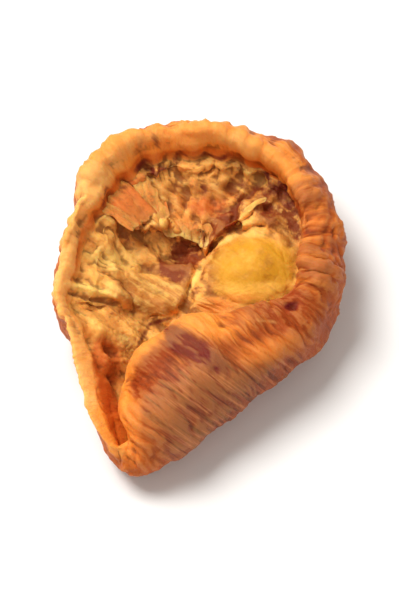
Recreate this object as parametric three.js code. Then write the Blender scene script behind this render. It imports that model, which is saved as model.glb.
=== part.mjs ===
import * as THREE from "three";

// Half of a dried apricot, lying on its back with the cut, hollow side up.
// Lengths are in millimetres, +Z is up and +Y runs along the fruit.
// A direction is an angle in degrees round the middle of the fruit, 0 along +X and 90 along +Y.
// A station runs along the skin from the middle of the underside out and up to the free edge:
// 0 to 1 is the floor, 1 to 2 the round foot, 2 to 3 the side wall with the rim or the folded lip.
// Each table below holds pairs of a direction and the value there.

// Distance of the widest part, the belly, from the middle
const bellyReach = [
  [10, 17.9], [23, 18.8], [36, 20.3], [48, 21.5], [60, 22.0], [75, 21.6], [92, 21.3],
  [108, 21.5], [122, 20.6], [136, 18.8], [150, 17.0], [164, 16.2], [176, 15.6], [184, 15.8],
  [190, 16.2], [196, 15.9], [204, 15.2], [216, 15.6], [227, 17.1], [236, 19.4], [244, 21.6],
  [251, 22.7], [257, 22.3], [264, 20.2], [276, 17.0], [293, 15.0], [312, 14.5], [332, 15.4],
  [345, 16.5], [356, 17.2],
];

// Height of the belly above the surface the fruit lies on
const bellyHeight = [
  [0, 6.8], [40, 7.8], [90, 8.8], [140, 8.2], [190, 7.0], [225, 5.6], [244, 4.0], [252, 3.7],
  [260, 4.2], [270, 5.0], [300, 5.8], [330, 6.4],
];

// Height of the free edge
const edgeHeight = [
  [0, 11.2], [40, 12.6], [90, 13.8], [140, 13.2], [190, 11.6], [215, 10.4], [235, 8.2],
  [245, 6.9], [251, 6.7], [257, 7.0], [262, 7.7], [270, 9.0], [280, 10.1], [300, 10.8],
  [330, 11.0],
];

// How far the free edge leans in from the belly, most where the lip is folded over the front
const edgeLean = [
  [0, 4.4], [22, 3.8], [37, 3.4], [60, 2.8], [94, 1.9], [130, 1.5], [160, 0.9], [178, 0.4],
  [190, 0.2], [205, -0.5], [232, -1.0], [244, -0.2], [248, 0.9], [251, 2.6], [254, 4.9],
  [257, 7.0], [260, 8.5], [264, 9.9], [270, 11.1], [277, 11.5], [296, 10.3], [313, 7.5],
  [330, 5.8], [345, 5.0],
];

// How far the lean turns aside from the middle, in degrees
const leanTurn = [
  [0, -9], [23, -12], [60, 0], [122, 7], [150, 14], [180, 0], [203, 0], [227, -27],
  [240, -26], [251, 14], [257, 38], [264, 44], [276, 34], [300, 8], [332, -16],
];

// Slope of the underside where the foot begins, in degrees
const footSlope = [[0, 14], [60, 19], [110, 20], [160, 17], [200, 14], [250, 8], [300, 10]];

// Thickness of the fruit on the floor, at the side and at the rim
const middleFlesh = 5.0;
const floorFlesh = [
  [0, 5.2], [60, 5.6], [90, 5.6], [130, 5.2], [170, 5.2], [205, 4.4], [235, 2.6], [251, 2.2],
  [270, 2.8], [300, 4.0], [330, 4.6],
];
const sideFlesh = [
  [0, 3.2], [60, 4.2], [90, 4.6], [130, 4.4], [170, 3.4], [205, 2.3], [235, 1.6], [251, 1.2],
  [270, 2.0], [300, 2.4], [330, 2.8],
];
const rimFlesh = [
  [0, 2.9], [60, 3.4], [90, 3.5], [130, 3.2], [160, 2.5], [185, 1.8], [215, 1.3], [240, 1.2],
  [251, 1.0], [265, 2.0], [300, 2.5], [330, 2.8],
];
const floorFleshBy = 0.7;
const rimFleshSpan = [2.05, 2.75];

// Flesh that fills the corner between floor and wall, how far it goes in and up for each
// millimetre, and the stations where it comes and fades out
const wallFill = [
  [0, 0], [40, 0.5], [90, 1.3], [130, 1.8], [170, 2.5], [205, 2.3], [228, 1.5], [240, 1.1],
  [247, 0.5], [256, 0.1], [265, 0], [330, 0],
];
const wallFillSlant = 0.7;
const wallFillStations = [0.45, 1.5, 1.7, 2.95];

// Rim: how far before the free edge its inner side ends, in stations, how high the round top
// stands over half its width, and how much further out its crest is
const bevel = [
  [0, 0.2], [40, 0.45], [65, 0.6], [90, 0.62], [130, 0.6], [170, 0.4], [205, 0.3], [235, 0.2],
  [252, 0], [300, 0], [340, 0.08],
];
const rimBulge = [
  [0, 0.75], [40, 0.68], [65, 0.58], [90, 0.52], [130, 0.5], [170, 0.6], [205, 0.7], [240, 0.75],
  [300, 0.75],
];
const rimSkew = [
  [0, 0.4], [40, 0.6], [65, 0.8], [90, 0.9], [130, 0.9], [170, 0.75], [205, 0.6], [240, 0.45],
  [300, 0.45],
];

// The torn flap of flesh behind the stone's hollow: where its edge runs and how high it stands
const tornReach = [
  [20, 12.0], [42, 12.6], [54, 12.0], [63, 10.4], [70, 8.7], [77, 8.1], [85, 8.7], [94, 9.5],
  [107, 10.3], [116, 11.3], [123, 11.3], [130, 11.2], [135, 13.0], [142, 14.2], [152, 13.5],
  [180, 11], [250, 10], [320, 10],
];
const tornRise = [
  [20, 0], [35, 0.2], [50, 0.8], [66, 1.3], [78, 1.7], [94, 1.9], [112, 1.9], [124, 1.9],
  [131, 1.5], [138, 0.5], [150, 0], [165, 0], [250, 0], [320, 0],
];
const tornSlant = 0.35;
const tornFade = 4.5;
const tornOverhang = { share: 0.39, beyond: 0.5, width: 0.8 };
const tornRuffle = [[17, 0.45, 1], [31, 0.35, 0], [47, 0.2, 2]];
const ruffledFrom = [0.2, 1.0];

// Oval hills and hollows of the flesh: centre, half length, half width, heading, height, power
const ovals = [
  { x: -1.3, y: 7.4, long: 3.0, short: 2.1, heading: 24, height: -2.5, power: 2 },
  { x: 6.5, y: 4.2, long: 5.4, short: 4.7, heading: 10, height: 2.1, power: 3 },
  { x: 6.5, y: 4.2, long: 3.6, short: 3.2, heading: 10, height: 0.5, power: 2 },
];

// Ridges and creases of the flesh along broken lines, a crease having a negative height
const lines = [
  {
    height: -1.0,
    width: 0.8,
    points: [[1.6, 8.0], [0.7, 5.0], [-0.5, 2.0], [-0.9, -0.6], [-3.0, -2.3], [-5.2, -2.8]],
  },
  { height: -0.6, width: 0.7, points: [[0.8, -0.9], [4.0, -2.2], [8.0, -1.8], [11.0, 0.4]] },
  { height: 1.0, width: 0.9, points: [[-14.5, 1.0], [-11.5, 0.2], [-8.9, -0.7]] },
  { height: 0.7, width: 0.8, points: [[4.4, 10.8], [7.0, 11.4], [9.4, 9.6]] },
  { height: 0.5, width: 0.6, points: [[3.6, 9.4], [6.4, 9.6], [8.6, 8.6]] },
];

// The relief of the bed fades out between these stations
const bedEnd = [1.5, 2.1];

// Loose folds in an oval patch of the left flesh
const foldPatch = { x: -8.0, y: 3.0, long: 6.0, short: 6.0, heading: 0, power: 4 };
const looseFolds = { height: 0.28, density: 1.9, slant: 0.35, sway: 1.2, swayDensity: 0.5 };

// Pleats that run up the wall behind the flap, folds across the lip and round the rim
const wallPleats = { count: 28, depth: 0.3, sway: 1.6, swayCount: 5 };
const lipPleats = { count: 40, depth: 0.3, sway: 1.3, swayCount: 7 };
const rimPleats = { count: 46, depth: 0.04, sway: 1.5, swayCount: 5 };

// Where they come in and fade out: directions, then stations
const wallDirections = [25, 55, 150, 185];
const wallStations = [0.7, 1.2, 2.1, 2.8];
const lipDirections = [256, 272, 345, 358];
const lipPleatsFrom = [2.1, 2.5];
const lipPleatsLeave = [2.6, 3.0];
const lipPleatsLeft = 0.2;
const rimPleatsFrom = [2.2, 2.7];

// Shallow dents low on the skin: count round the fruit, depth and slant along the stations
const dents = [[6, 0.25, 2.0], [15, 0.15, -3.0]];
const dentStations = [0.9, 1.3, 1.5, 2.1];

// Waves of the free edge: count round the fruit, height and start
const edgeWaves = [[5, 0.3, 1.0], [9, 0.22, 2.0], [14, 0.16, 0]];

// Flat spot on the underside that the fruit rests on: its reach from the middle
const restReach = 5.6;
const restReachSway = 1.8;

// Where the curve that rounds the inside corner of the flesh leaves the floor and joins the wall
const curveFrom = 0.86;
const curveTo = 2.1;
const curvePull = 0.5;

// Mesh: columns round the fruit, crowded towards the narrow tip, and rows of each stretch
const columns = 124;
const tipDirection = 252;
const tipCrowding = 0.35;
const bedRowsInsideTear = 6;
const bedRowsAcrossTear = 2;
const bedRowsOutsideTear = 4;
const innerFootRows = 6;
const innerWallRows = 8;
const rimCapRows = 4;
const outerFloorRows = 4;
const outerFootRows = 5;
const outerWallRows = 9;
const halfTearBand = 0.6;
const tearStations = [0.3, 0.86];

// Steps for measuring the slope of the skin: in stations and in degrees
const stationStep = 0.03;
const directionStep = 1.2;
const smallestTurn = 0.001;

const radians = (degrees) => (degrees * Math.PI) / 180;
const clamp = (value, low, high) => Math.min(Math.max(value, low), high);

// Soft step from 0 at low to 1 at high
function softStep(low, high, value) {
  const t = clamp((value - low) / (high - low), 0, 1);
  return t * t * (3 - 2 * t);
}

// Rises from 0 to 1 between the first two marks and falls back between the last two
function between([riseFrom, riseTo, fallFrom, fallTo], value) {
  return softStep(riseFrom, riseTo, value) * (1 - softStep(fallFrom, fallTo, value));
}

const wholeTurn = (direction) => ((direction % 360) + 360) % 360;

// Value of a table at a direction, by a smooth curve that closes round the fruit
function tableAt(table, direction) {
  const count = table.length;
  const angle = wholeTurn(direction);
  const entry = (i) => {
    const turns = Math.floor(i / count);
    const [at, value] = table[i - turns * count];
    return [at + 360 * turns, value];
  };
  let i = -1;
  while (entry(i + 1)[0] <= angle) i += 1;
  const [x0, v0] = entry(i);
  const [x1, v1] = entry(i + 1);
  const [xBefore, vBefore] = entry(i - 1);
  const [xAfter, vAfter] = entry(i + 2);
  const step = x1 - x0;
  const t = (angle - x0) / step;
  const slope0 = ((v1 - vBefore) / (x1 - xBefore)) * step;
  const slope1 = ((vAfter - v0) / (xAfter - x0)) * step;
  const start = (1 + 2 * t) * (1 - t) ** 2 * v0 + t * (1 - t) ** 2 * slope0;
  return start + t * t * (3 - 2 * t) * v1 + t * t * (t - 1) * slope1;
}

// Sizes of the underside at one direction: the flat spot's reach, the foot's slope, its radius
// and the distance at which the foot begins
function undersideAt(direction) {
  const flat = restReach + restReachSway * Math.sin(radians(direction));
  const slope = radians(tableAt(footSlope, direction));
  const reach = tableAt(bellyReach, direction);
  const height = tableAt(bellyHeight, direction);
  const rise = Math.tan(slope) / 2;
  const radius = (height - rise * (reach - flat)) / (Math.cos(slope) - rise * (1 - Math.sin(slope)));
  return { flat, slope, radius, footStart: reach - radius * (1 - Math.sin(slope)) };
}

// Point of the smooth skin: a flat spot that rises as a parabola, a foot that is part of a circle
// and a wall that is part of a circle too, leaving the belly upright and ending at the free edge
function skinPoint(direction, station) {
  const angle = radians(direction);
  const { flat, slope, radius, footStart } = undersideAt(direction);
  let reach = footStart * clamp(station, 0, 1);
  let height = (Math.tan(slope) * Math.max(reach - flat, 0) ** 2) / (2 * (footStart - flat));
  const footAngle = slope + (Math.PI / 2 - slope) * clamp(station - 1, 0, 1);
  reach += radius * (Math.sin(footAngle) - Math.sin(slope));
  height += radius * (Math.cos(slope) - Math.cos(footAngle));
  let climb = tableAt(edgeHeight, direction) - tableAt(bellyHeight, direction);
  for (const [count, size, start] of edgeWaves) climb += size * Math.sin(count * angle + start);
  const fullTurn = 2 * Math.atan2(tableAt(edgeLean, direction), climb);
  const wallTurn = Math.abs(fullTurn) < smallestTurn ? smallestTurn : fullTurn;
  const wallAngle = wallTurn * clamp(station - 2, 0, 1);
  const wallRadius = climb / Math.sin(wallTurn);
  const lean = wallRadius * (1 - Math.cos(wallAngle));
  const heading = radians(direction + 180 + tableAt(leanTurn, direction));
  return new THREE.Vector3(
    Math.cos(angle) * reach + Math.cos(heading) * lean,
    Math.sin(angle) * reach + Math.sin(heading) * lean,
    height + wallRadius * Math.sin(wallAngle),
  );
}

// Inward normal of the skin and the way along it to the free edge
function skinFrame(direction, station) {
  const here = Math.max(station, 2 * stationStep);
  const after = skinPoint(direction, Math.min(here + stationStep, 3));
  const along = after.sub(skinPoint(direction, here - stationStep));
  const onward = skinPoint(direction + directionStep, here);
  const round = onward.sub(skinPoint(direction - directionStep, here));
  const inward = new THREE.Vector3().crossVectors(along, round).normalize();
  return { inward, along: along.normalize() };
}

// Thickness of the fruit before any relief
function fleshAt(direction, station) {
  const floor = tableAt(floorFlesh, direction);
  const side = tableAt(sideFlesh, direction);
  const rim = tableAt(rimFlesh, direction);
  const bed = middleFlesh + (floor - middleFlesh) * softStep(0, floorFleshBy, station);
  const wall = bed + (side - floor) * softStep(curveFrom, curveTo, station);
  return wall + (rim - side) * softStep(...rimFleshSpan, station);
}

// Point above the skin by the thickness of the flesh
function fleshPoint(direction, station) {
  const { inward, along } = skinFrame(direction, station);
  const point = skinPoint(direction, station);
  return { point: point.addScaledVector(inward, fleshAt(direction, station)), inward, along };
}

// Inside of the flesh before any relief, with a curve instead of the tight corner at the foot
function bedPoint(direction, station) {
  if (station <= curveFrom || station >= curveTo) return fleshPoint(direction, station);
  const from = fleshPoint(direction, curveFrom);
  const to = fleshPoint(direction, curveTo);
  const pull = curvePull * from.point.distanceTo(to.point);
  const curve = new THREE.CubicBezierCurve3(
    from.point,
    from.point.clone().addScaledVector(from.along, pull),
    to.point.clone().addScaledVector(to.along, -pull),
    to.point,
  );
  const t = (station - curveFrom) / (curveTo - curveFrom);
  const along = curve.getTangent(t);
  const side = new THREE.Vector3().crossVectors(along, from.inward).normalize();
  const inward = new THREE.Vector3().crossVectors(side, along);
  return { point: curve.getPoint(t), inward, along };
}

// Oval hill of height 1, flat on top where the power is high
function ovalAt(x, y, oval) {
  const heading = radians(oval.heading);
  const u = ((x - oval.x) * Math.cos(heading) + (y - oval.y) * Math.sin(heading)) / oval.long;
  const v = ((y - oval.y) * Math.cos(heading) - (x - oval.x) * Math.sin(heading)) / oval.short;
  return Math.exp(-((u * u + v * v) ** (oval.power / 2)));
}

// Ridge of height 1 along a broken line, fading as a bell curve of the distance
function lineAt(x, y, line) {
  let nearest = Infinity;
  for (let i = 0; i + 1 < line.points.length; i += 1) {
    const [ax, ay] = line.points[i];
    const [bx, by] = line.points[i + 1];
    const lengthSquared = (bx - ax) ** 2 + (by - ay) ** 2;
    const t = clamp(((x - ax) * (bx - ax) + (y - ay) * (by - ay)) / lengthSquared, 0, 1);
    nearest = Math.min(nearest, (x - ax - t * (bx - ax)) ** 2 + (y - ay - t * (by - ay)) ** 2);
  }
  return Math.exp(-nearest / line.width ** 2);
}

// Height of everything that stands on or is sunk in the bed of flesh
function bedRelief(x, y) {
  let height = 0;
  for (const oval of ovals) height += oval.height * ovalAt(x, y, oval);
  for (const line of lines) height += line.height * lineAt(x, y, line);
  const sway = looseFolds.sway * Math.sin(looseFolds.swayDensity * x);
  const wave = Math.sin(looseFolds.density * (looseFolds.slant * x + y) + sway);
  return height + looseFolds.height * wave * ovalAt(x, y, foldPatch);
}

// Wave of a set of pleats round the fruit, its spacing swaying a little
function pleatWave(pleats, direction) {
  const angle = radians(direction);
  const sway = pleats.sway * Math.sin(pleats.swayCount * angle);
  return pleats.depth * Math.sin(pleats.count * angle + sway);
}

// Point of the flesh side
function innerPoint(direction, station) {
  const angle = radians(direction);
  const { point, inward } = bedPoint(direction, station);
  let height = bedRelief(point.x, point.y) * (1 - softStep(...bedEnd, station));
  const onWall = between(wallDirections, wholeTurn(direction)) * between(wallStations, station);
  height += pleatWave(wallPleats, direction) * onWall;
  const rise = tableAt(tornRise, direction);
  let edge = tableAt(tornReach, direction);
  for (const [count, size, start] of tornRuffle) {
    edge += size * Math.sin(count * angle + start) * softStep(...ruffledFrom, rise);
  }
  const beyond = Math.hypot(point.x, point.y) - edge;
  const fade = Math.exp(-Math.max(beyond, 0) / tornFade);
  height += rise * softStep(-tornSlant, tornSlant, beyond) * fade;
  point.addScaledVector(inward, height);
  const pastEdge = (beyond - tornOverhang.beyond) / tornOverhang.width;
  const overhang = tornOverhang.share * rise * Math.exp(-(pastEdge ** 2));
  const fill = wallFillSlant * tableAt(wallFill, direction) * between(wallFillStations, station);
  point.x -= Math.cos(angle) * (overhang + fill);
  point.y -= Math.sin(angle) * (overhang + fill);
  point.z += fill;
  return point;
}

// Point of the skin side, with its folds and dents. The rim's pleats are in proportion to its
// thickness.
function outerPoint(direction, station) {
  const lip = between(lipDirections, wholeTurn(direction));
  const lipFade = 1 - (1 - lipPleatsLeft) * softStep(...lipPleatsLeave, station);
  const lipFold = lip * lipFade * softStep(...lipPleatsFrom, station);
  const rimFold = (1 - lip) * tableAt(rimFlesh, direction) * softStep(...rimPleatsFrom, station);
  let outward = pleatWave(lipPleats, direction) * lipFold;
  outward += pleatWave(rimPleats, direction) * rimFold;
  for (const [count, depth, slant] of dents) {
    const wave = Math.sin(count * radians(direction) + slant * station);
    outward += depth * wave * between(dentStations, station);
  }
  const { inward } = skinFrame(direction, station);
  return skinPoint(direction, station).addScaledVector(inward, -outward);
}

// Evenly spaced values after one number up to and including another
function spread(from, to, count) {
  return Array.from({ length: count }, (_, i) => from + ((to - from) * (i + 1)) / count);
}

// Column of points from the middle of the flesh, over the rim, to the middle of the underside
function columnPoints(direction) {
  const { flat, footStart } = undersideAt(direction);
  const tear = clamp(tableAt(tornReach, direction) / footStart, ...tearStations);
  const band = halfTearBand / footStart;
  const inside = [
    ...spread(0, tear - band, bedRowsInsideTear),
    ...spread(tear - band, tear + band, bedRowsAcrossTear),
    ...spread(tear + band, 1, bedRowsOutsideTear),
    ...spread(1, 2, innerFootRows),
    ...spread(2, 3 - tableAt(bevel, direction), innerWallRows),
  ].map((station) => innerPoint(direction, station));
  const outside = [
    flat / footStart,
    ...spread(flat / footStart, 1, outerFloorRows - 1),
    ...spread(1, 2, outerFootRows),
    ...spread(2, 3, outerWallRows),
  ].map((station) => outerPoint(direction, station));
  const innerEdge = inside.at(-1);
  const outerEdge = outside.at(-1);
  const centre = innerEdge.clone().add(outerEdge).multiplyScalar(0.5);
  const across = innerEdge.clone().sub(centre);
  const { along } = skinFrame(direction, 3);
  const bulge = tableAt(rimBulge, direction);
  const skew = tableAt(rimSkew, direction);
  const cap = spread(0, Math.PI, rimCapRows).slice(0, -1).map((angle) => {
    const rise = bulge * Math.sin(angle) * (1 - skew * Math.cos(angle));
    const point = centre.clone().addScaledVector(across, Math.cos(angle));
    return point.addScaledVector(along, across.length() * rise);
  });
  return [...inside, ...cap, ...outside.reverse()];
}

// Closed surface through the columns, with a fan of triangles at the middle of each side
function buildFruit() {
  const grid = [];
  for (let column = 0; column < columns; column += 1) {
    const even = (column * 360) / columns;
    const crowded = even - (tipCrowding * 180 * Math.sin(radians(even - tipDirection))) / Math.PI;
    grid.push(columnPoints(crowded));
  }
  const rows = grid[0].length;
  const points = [innerPoint(0, 0), ...grid.flat(), new THREE.Vector3(0, 0, 0)];
  const at = (column, row) => 1 + (column % columns) * rows + row;
  const last = points.length - 1;
  const triangles = [];
  for (let column = 0; column < columns; column += 1) {
    triangles.push(0, at(column, 0), at(column + 1, 0));
    for (let row = 0; row + 1 < rows; row += 1) {
      const near = at(column, row);
      const far = at(column + 1, row);
      triangles.push(near, near + 1, far + 1, near, far + 1, far);
    }
    triangles.push(last, at(column + 1, rows - 1), at(column, rows - 1));
  }
  const box = new THREE.Box3().setFromPoints(points);
  const shiftX = (box.min.x + box.max.x) / 2;
  const shiftY = (box.min.y + box.max.y) / 2;
  const positions = points.flatMap((p) => [p.x - shiftX, p.y - shiftY, p.z - box.min.z]);
  const geometry = new THREE.BufferGeometry();
  geometry.setAttribute("position", new THREE.Float32BufferAttribute(positions, 3));
  geometry.setIndex(triangles);
  geometry.computeVertexNormals();
  return geometry;
}

const fruitMaterial = new THREE.MeshStandardMaterial({
  color: 0xcf7f3c,
  roughness: 0.55,
  metalness: 0,
});

const fruit = new THREE.Mesh(buildFruit(), fruitMaterial);
fruit.name = "fruit";

const part = new THREE.Group();
part.name = "dried_apricot";
part.add(fruit);

export default part;
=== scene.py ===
import bpy
import numpy as np
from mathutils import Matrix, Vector


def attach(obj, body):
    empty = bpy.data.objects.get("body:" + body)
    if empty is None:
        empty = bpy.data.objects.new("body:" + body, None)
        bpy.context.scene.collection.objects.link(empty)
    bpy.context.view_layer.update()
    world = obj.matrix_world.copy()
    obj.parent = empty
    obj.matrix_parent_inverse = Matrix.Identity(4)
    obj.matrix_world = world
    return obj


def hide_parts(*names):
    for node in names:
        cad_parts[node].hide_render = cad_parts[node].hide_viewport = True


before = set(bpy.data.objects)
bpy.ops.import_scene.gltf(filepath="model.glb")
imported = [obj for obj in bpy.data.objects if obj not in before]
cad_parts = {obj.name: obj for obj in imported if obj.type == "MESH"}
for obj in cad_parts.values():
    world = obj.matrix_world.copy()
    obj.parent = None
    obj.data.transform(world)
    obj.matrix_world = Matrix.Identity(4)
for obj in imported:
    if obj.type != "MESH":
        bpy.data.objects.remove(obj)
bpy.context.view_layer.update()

hollowMiddle = (-0.825, 0.237)  # place of the hollow's middle in the part, mm


# Numbers that every piece uses

# Ramp from 0 at start to 1 at end, with t*t*(3 - 2t) between.
def ramp(start, end, value):
    t = np.clip((value - start) / (end - start), 0, 1)
    return t * t * (3 - 2 * t)


# Ramp from 0 at start to 1 at full, and back from 1 at leave to 0 at end.
def plateau(start, full, leave, end, value):
    return ramp(start, full, value) * (1 - ramp(leave, end, value))


# Vectors over their lengths.
def unit(vectors):
    return vectors / np.maximum(np.linalg.norm(vectors, axis=-1), 1e-9)[..., None]


# Smooth noise of spread 1: a sum of cosines of plane waves about `size` long, in seeded directions, times
# the root of 2 over their count.
def ripple(points, size, seed, waves=24):
    draw = np.random.default_rng(seed)
    heading = draw.normal(size=(waves, 3))
    heading /= np.linalg.norm(heading, axis=1)[:, None]
    heading *= (2 * np.pi / size * draw.uniform(0.65, 1.5, waves))[:, None]
    phase = draw.uniform(0, 2 * np.pi, waves)
    total = np.zeros(points.shape[:-1])
    for pull, shift in zip(heading, phase):
        total += np.cos(points @ pull + shift)
    return total * np.sqrt(2 / waves)


# Noise with round crests between sharp creases: the noise's distance from 0, less about its average.
def creased(points, size, seed):
    return np.minimum(np.abs(ripple(points, size, seed)), 1.8) - 0.75


# Hill of height 1 over an oval: e to the minus (distance in ovals) to the power.
def hill(x, y, place, long, short, heading=0.0, power=2.0):
    c, s = np.cos(np.radians(heading)), np.sin(np.radians(heading))
    u = ((x - place[0]) * c + (y - place[1]) * s) / long
    v = (-(x - place[0]) * s + (y - place[1]) * c) / short
    return np.exp(-((u * u + v * v) ** (power / 2)))


# Ridge of height 1 along a broken line: e to the minus (distance to the line in widths) squared.
def ridge(x, y, line, width):
    nearest = np.full(np.shape(x), 1e9)
    for (ax, ay), (bx, by) in zip(line[:-1], line[1:]):
        dx, dy = bx - ax, by - ay
        t = np.clip(((x - ax) * dx + (y - ay) * dy) / (dx * dx + dy * dy), 0, 1)
        nearest = np.minimum(nearest, (x - ax - t * dx) ** 2 + (y - ay - t * dy) ** 2)
    return np.exp(-nearest / width**2)


# The fruit's main shape

# A direction is in degrees round the hollow's middle, 0 along +X, and tables give values by direction. A
# station runs 0 to 1 along the floor, to 2 up the foot's arc and to 3 up the wall to the free edge.
fruitShape = {
    "bellyReach": [
        (10, 17.9), (23, 18.8), (36, 20.3), (48, 21.5), (60, 22.0), (75, 21.6), (92, 21.3), (108, 21.5),
        (122, 20.6), (136, 18.8), (150, 17.0), (164, 16.2), (176, 15.6), (184, 15.8), (190, 16.2),
        (196, 15.9), (204, 15.2), (216, 15.6), (227, 17.1), (236, 19.4), (244, 21.6), (251, 22.7),
        (257, 22.3), (264, 20.2), (276, 17.0), (293, 15.0), (312, 14.5), (332, 15.4), (345, 16.5),
        (356, 17.2),
    ],
    "bellyHeight": [
        (0, 6.8), (40, 7.8), (90, 8.8), (140, 8.2), (190, 7.0), (225, 5.6), (244, 4.0), (252, 3.7),
        (260, 4.2), (270, 5.0), (300, 5.8), (330, 6.4),
    ],
    "edgeHeight": [
        (0, 11.2), (40, 12.6), (90, 13.8), (140, 13.2), (190, 11.6), (215, 10.4), (235, 8.2), (245, 6.9),
        (251, 6.7), (257, 7.0), (262, 7.7), (270, 9.0), (280, 10.1), (300, 10.8), (330, 11.0),
    ],
    "edgeLean": [
        (0, 4.4), (22, 3.8), (37, 3.4), (60, 2.8), (94, 1.9), (130, 1.5), (160, 0.9), (178, 0.4),
        (190, 0.2), (205, -0.5), (232, -1.0), (244, -0.2), (248, 0.9), (251, 2.6), (254, 4.9), (257, 7.0),
        (260, 8.5), (264, 9.9), (270, 11.1), (277, 11.5), (296, 10.3), (313, 7.5), (330, 5.8), (345, 5.0),
    ],
    "leanTurn": [
        (0, -9), (23, -12), (60, 0), (122, 7), (150, 14), (180, 0), (203, 0), (227, -27), (240, -26),
        (251, 14), (257, 38), (264, 44), (276, 34), (300, 8), (332, -16),
    ],
    "footSlope": [(0, 14), (60, 19), (110, 20), (160, 17), (200, 14), (250, 8), (300, 10)],
    "middleFlesh": 5.0,
    "floorFlesh": [
        (0, 5.2), (60, 5.6), (90, 5.6), (130, 5.2), (170, 5.2), (205, 4.4), (235, 2.6), (251, 2.2),
        (270, 2.8), (300, 4.0), (330, 4.6),
    ],
    "sideFlesh": [
        (0, 3.2), (60, 4.2), (90, 4.6), (130, 4.4), (170, 3.4), (205, 2.3), (235, 1.6), (251, 1.2),
        (270, 2.0), (300, 2.4), (330, 2.8),
    ],
    "rimFlesh": [
        (0, 2.9), (60, 3.4), (90, 3.5), (130, 3.2), (160, 2.5), (185, 1.8), (215, 1.3), (240, 1.2),
        (251, 1.0), (265, 2.0), (300, 2.5), (330, 2.8),
    ],
    "edgeWaves": [(5, 0.3, 1), (9, 0.22, 2), (14, 0.16, 0)],  # round the free edge: count, height, phase
    "restReach": 5.6,  # reach of the flat spot
    "restReachSway": 1.8,
    "floorFleshBy": 0.7,
    "rimFleshSpan": (2.05, 2.75),
    "curveFrom": 0.86,  # stations between which the flesh curves up from the floor to the wall
    "curveTo": 2.1,
    "curvePull": 0.5,
    "wallFill": [  # flesh in the corner between floor and wall, in and up at a slant
        (0, 0), (40, 0.5), (90, 1.3), (130, 1.8), (170, 2.5), (205, 2.3), (228, 1.5), (240, 1.1),
        (247, 0.5), (256, 0.1), (265, 0), (330, 0),
    ],
    "wallFillSlant": 0.7,
    "wallFillSpan": (0.45, 1.5, 1.7, 2.95),
    "bevel": [  # how much sooner the inside ends than the outside
        (0, 0.2), (40, 0.45), (65, 0.6), (90, 0.62), (130, 0.6), (170, 0.4), (205, 0.3), (235, 0.2),
        (252, 0), (300, 0), (340, 0.08),
    ],
    "rimBulge": [  # height of the rim's cap over half its width
        (0, 0.75), (40, 0.68), (65, 0.58), (90, 0.52), (130, 0.5), (170, 0.6), (205, 0.7), (240, 0.75),
        (300, 0.75),
    ],
    "rimSkew": [  # how far its crest sits to the outside
        (0, 0.4), (40, 0.6), (65, 0.8), (90, 0.9), (130, 0.9), (170, 0.75), (205, 0.6), (240, 0.45),
        (300, 0.45),
    ],
    "tornReach": [
        (20, 12.0), (42, 12.6), (54, 12.0), (63, 10.4), (70, 8.7), (77, 8.1), (85, 8.7), (94, 9.5),
        (107, 10.3), (116, 11.3), (123, 11.3), (130, 11.2), (135, 13.0), (142, 14.2), (152, 13.5),
        (180, 11), (250, 10), (320, 10),
    ],
    "tornRise": [
        (20, 0), (35, 0.2), (50, 0.8), (66, 1.3), (78, 1.7), (94, 1.9), (112, 1.9), (124, 1.9), (131, 1.5),
        (138, 0.5), (150, 0), (165, 0), (250, 0), (320, 0),
    ],
    "tornRuffle": [(17, 0.45, 1), (31, 0.35, 0), (47, 0.2, 2)],
    "tornSlant": 0.35,
    "tornFade": 4.5,
    "tornOverhang": (0.39, 0.5, 0.8),  # share of the rise, place beyond the tear, width
    "fleshUpWall": [  # how much further up the wall the flesh's colour and fibres go than the floor
        (0, 0), (25, 0), (50, 0.9), (70, 1.6), (140, 1.6), (155, 1.7), (205, 1.8), (222, 1.3), (234, 0.2),
        (330, 0),
    ],
    # paleness and painted light of the rim's crest round the fruit, strongest at the left, towards the lamp
    "rimPalenessAndLight": [
        (0, 0.1), (30, 0.1), (50, 0.4), (70, 0.65), (90, 0.6), (110, 0.6), (135, 0.9), (180, 0.9),
        (215, 0.8), (240, 0.5), (252, 0.35), (270, 0.3), (300, 0.3), (340, 0.1),
    ],
    # the crinkle: a painted shadow line just inside the far rim's inner edge, at this run
    "crinkleRun": [  # run at which the far rim's dark inner edge crinkles
        (20, -2.6), (40, -2.6), (60, -3.4), (75, -2.3), (90, -2.6), (105, -3.3), (120, -2.2), (140, -1.3),
        (165, -1),
    ],
    "crinkleSway": 0.5,
    "crinkleWidth": 0.42,
    "forms": {  # on the flesh: place, height, half length, half width, heading, power
        "stoneBed": ((-1.3, 7.4), -2.5, 3.0, 2.1, 24, 2),
        "swelling": ((6.5, 4.2), 2.1, 5.4, 4.7, 10, 3),
        "swellingTop": ((6.5, 4.2), 0.5, 3.6, 3.2, 10, 2),
    },
    "lines": {  # on the flesh: points, height, width
        "longCrease": (
            [(1.6, 8.0), (0.7, 5.0), (-0.5, 2.0), (-0.9, -0.6), (-3.0, -2.3), (-5.2, -2.8)], -1.0, 0.8,
        ),
        "lipCrease": ([(0.8, -0.9), (4.0, -2.2), (8.0, -1.8), (11.0, 0.4)], -0.6, 0.7),
        "paleRidge": ([(-14.5, 1.0), (-11.5, 0.2), (-8.9, -0.7)], 1.0, 0.9),
        "farFin": ([(4.4, 10.8), (7.0, 11.4), (9.4, 9.6)], 0.7, 0.8),
        "nearFin": ([(3.6, 9.4), (6.4, 9.6), (8.6, 8.6)], 0.5, 0.6),
    },
    "bedWaves": 0.28,  # across the flesh at the left
    "farPleats": 0.3,
    "lipPleats": 0.16,
    "rimPleats": 0.04,  # over its flesh's thickness
    "bellyDents": (0.25, 0.15),  # broad ones, and the smaller ones between
}


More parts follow.
